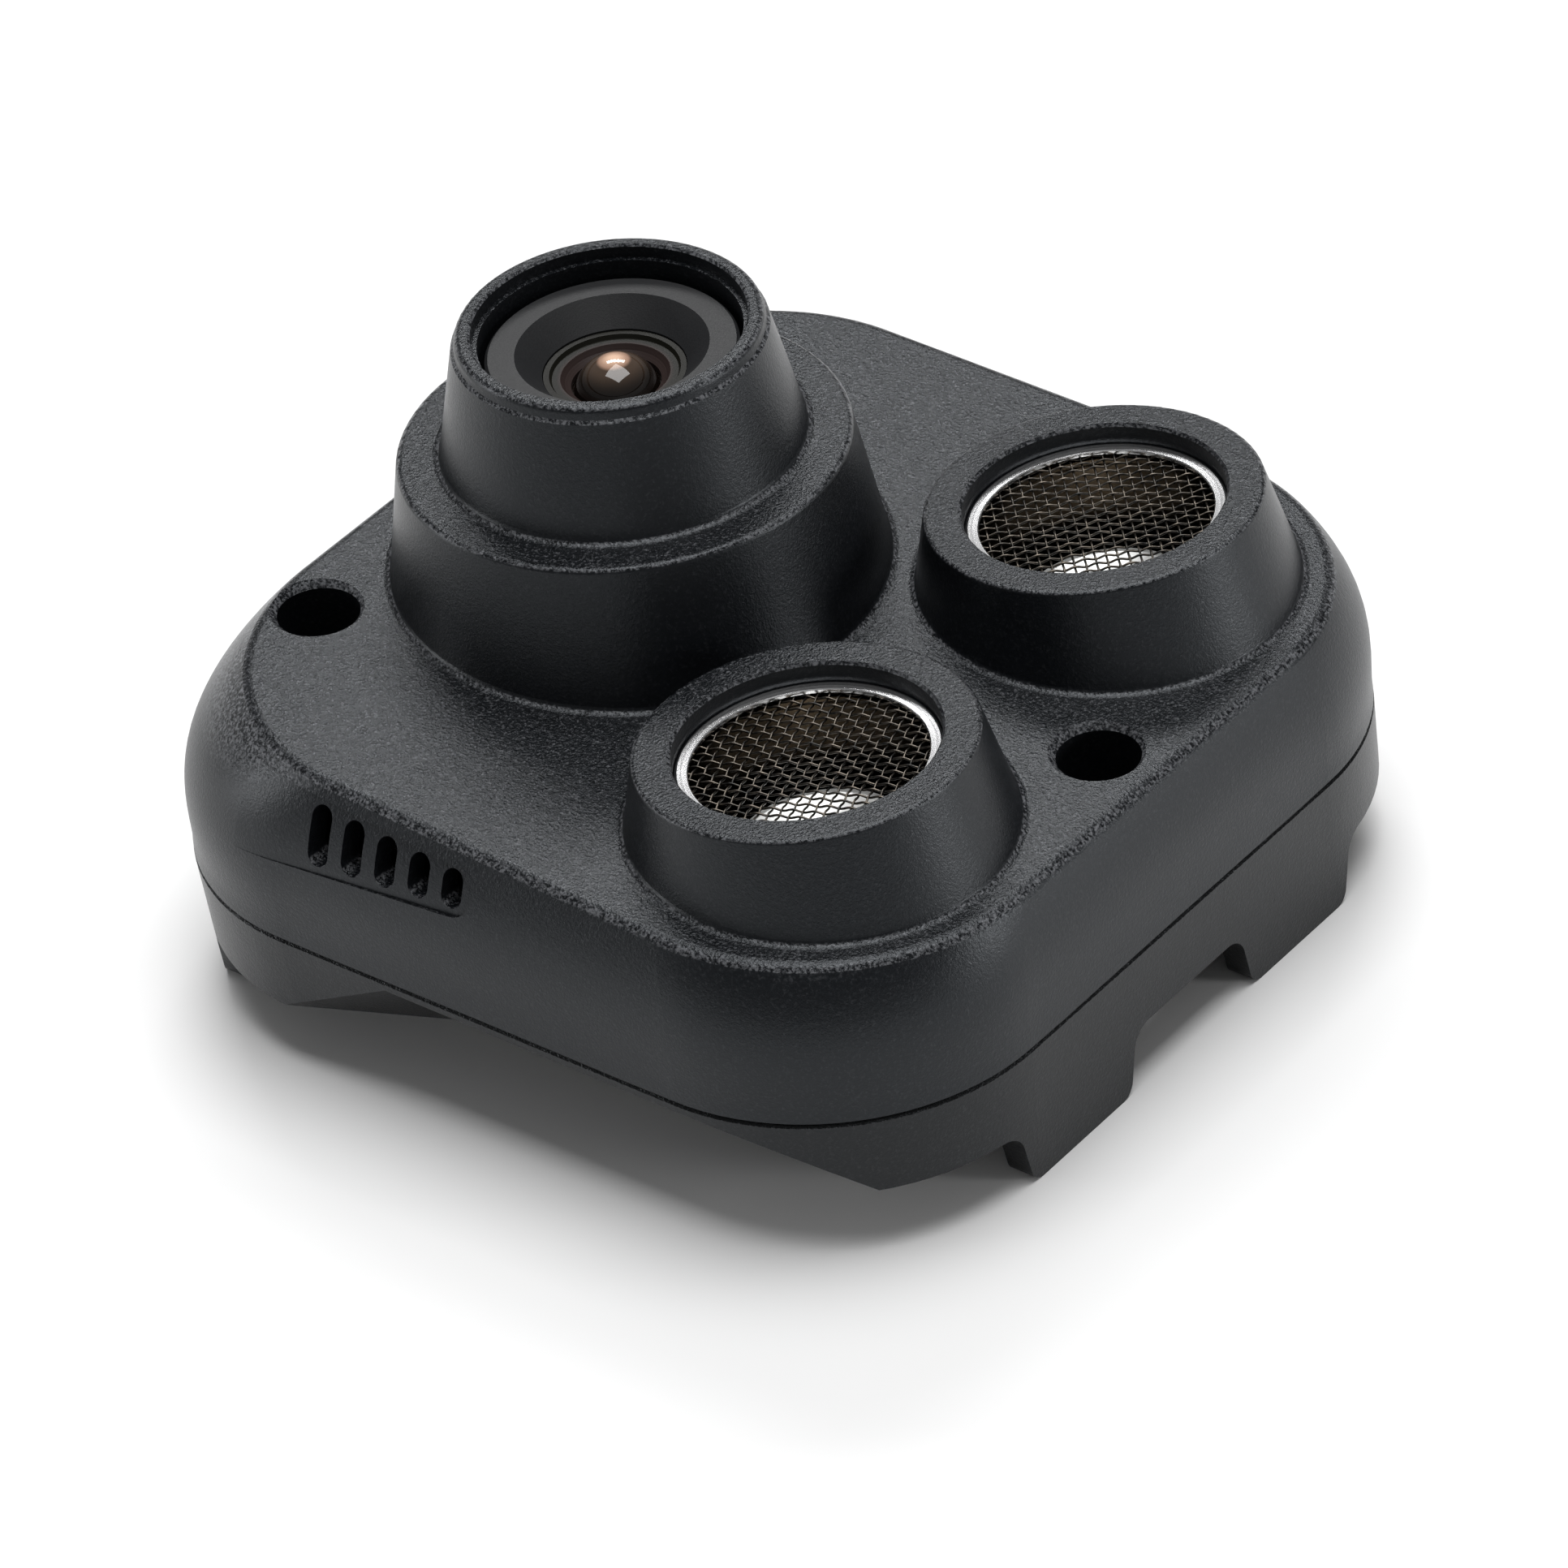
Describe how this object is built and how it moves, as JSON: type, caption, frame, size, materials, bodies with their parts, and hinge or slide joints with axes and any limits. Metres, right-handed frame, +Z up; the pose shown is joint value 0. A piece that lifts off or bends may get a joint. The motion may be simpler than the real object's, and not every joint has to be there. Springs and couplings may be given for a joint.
{
  "type": "camera and ultrasonic sensor head",
  "caption": "Rounded-square black plastic sensor head: a raised camera turret with a turnable lens and ultrasonic transducers in low bosses, on tabs.",
  "frame": {"origin": "centre of the footprint, on the plane under the four tabs", "axes": "+Z up, the way the camera and the transducers look; +X towards the transducers' side, away from the camera turret; +Y to the left looking along +X"},
  "size_m": [0.0598, 0.0598, 0.0381],
  "materials": {
    "black_plastic": "moulded, coarse spark texture on the plate and fine satin on the walls",
    "black_metal": "black anodised, satin",
    "lens_glass": "polished with a warm coating",
    "filter_glass": "polished",
    "holder_plastic": "moulded satin",
    "base_plastic": "moulded satin",
    "socket_plastic": "moulded satin",
    "seal_rubber": "matt",
    "board_green": "solder mask",
    "chip_black": "matt",
    "chip_ceramic": "matt",
    "screw_steel": "plated",
    "flex_film": "film",
    "can_aluminium": "turned, satin",
    "cone_aluminium": "bright",
    "plate_aluminium": "satin",
    "wire_mesh": "woven wire, lightly tarnished",
    "contact_brass": "plated"
  },
  "bodies": {
    "housing": {"upper_housing": "black_plastic", "lower_housing": "black_plastic", "lens_lock_ring": "black_metal", "lens_seal": "seal_rubber", "lens_holder": "holder_plastic", "infrared_filter": "filter_glass", "image_sensor": "chip_black", "camera_board": "board_green", "camera_board_screws": "screw_steel", "camera_flex": "flex_film", "flex_sockets": "socket_plastic", "transducer_can_right": "can_aluminium", "mesh_screen_right": "wire_mesh", "resonator_cone_right": "cone_aluminium", "vibrating_plate_right": "plate_aluminium", "piezo_disc_right": "chip_ceramic", "transducer_base_right": "base_plastic", "transducer_pins_right": "contact_brass", "rubber_sleeve_right": "seal_rubber", "transducer_can_left": "can_aluminium", "mesh_screen_left": "wire_mesh", "resonator_cone_left": "cone_aluminium", "vibrating_plate_left": "plate_aluminium", "piezo_disc_left": "chip_ceramic", "transducer_base_left": "base_plastic", "transducer_pins_left": "contact_brass", "rubber_sleeve_left": "seal_rubber", "main_board": "board_green", "board_screws": "screw_steel", "processor_chip": "chip_black", "sonar_driver_chips": "chip_black", "crystal_can": "can_aluminium", "capacitors": "chip_ceramic", "interface_socket": "socket_plastic", "interface_pins": "contact_brass", "housing_screws": "screw_steel"},
    "lens": {"lens_barrel": "black_metal", "lens_retainer": "black_metal", "front_lens": "lens_glass", "lens_spacer": "black_metal", "middle_lens": "lens_glass", "rear_spacer": "black_metal", "rear_lens": "lens_glass"}
  },
  "joints": [
    {"name": "lens_focus", "type": "hinge", "parent": "housing", "child": "lens", "pos_m": [-0.00955, 0, 0.00935], "axis": [-0.0157, 0, 0.9999], "range_deg": [-180, 180]}
  ]
}
